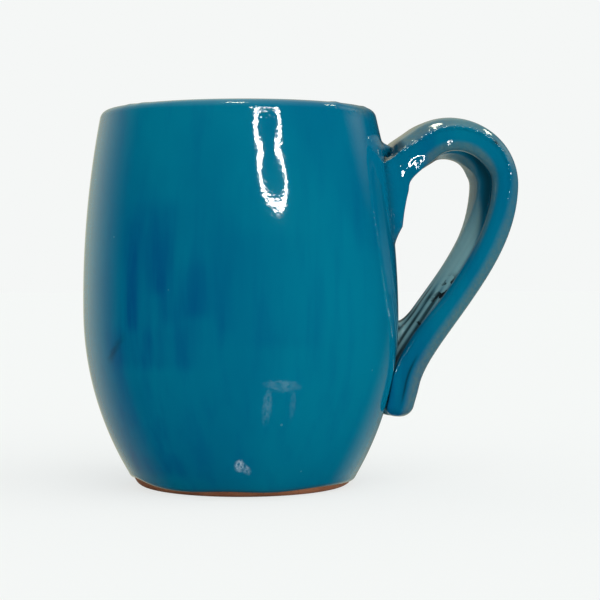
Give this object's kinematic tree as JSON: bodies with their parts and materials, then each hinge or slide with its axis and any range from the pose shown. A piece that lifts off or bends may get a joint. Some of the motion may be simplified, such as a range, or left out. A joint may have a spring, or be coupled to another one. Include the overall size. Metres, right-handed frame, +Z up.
{
  "type": "pottery mug",
  "caption": "Barrel-shaped hand-thrown mug with a pulled loop handle and a glossy teal glaze that stops just above a bare flat clay foot.",
  "frame": {"origin": "centre of the flat foot, on the surface that the mug stands on", "axes": "+Z up along the axis of the bowl, +X towards the handle, +Y completes the right hand"},
  "size_m": [0.127, 0.091, 0.108],
  "materials": {
    "red_clay": "fired red earthenware, bare and matt, slightly gritty",
    "teal_glaze": "glossy opaque teal glaze with darker blue streaks, thin over edges",
    "slip": "fired clay slip, matt"
  },
  "bodies": {
    "root": {"clay_body": "red_clay", "liner_glaze": "teal_glaze", "outer_glaze": "teal_glaze", "handle_strap": "red_clay", "handle_glaze": "teal_glaze", "upper_slip_bed": "slip", "lower_slip_bed": "slip"}
  },
  "joints": []
}
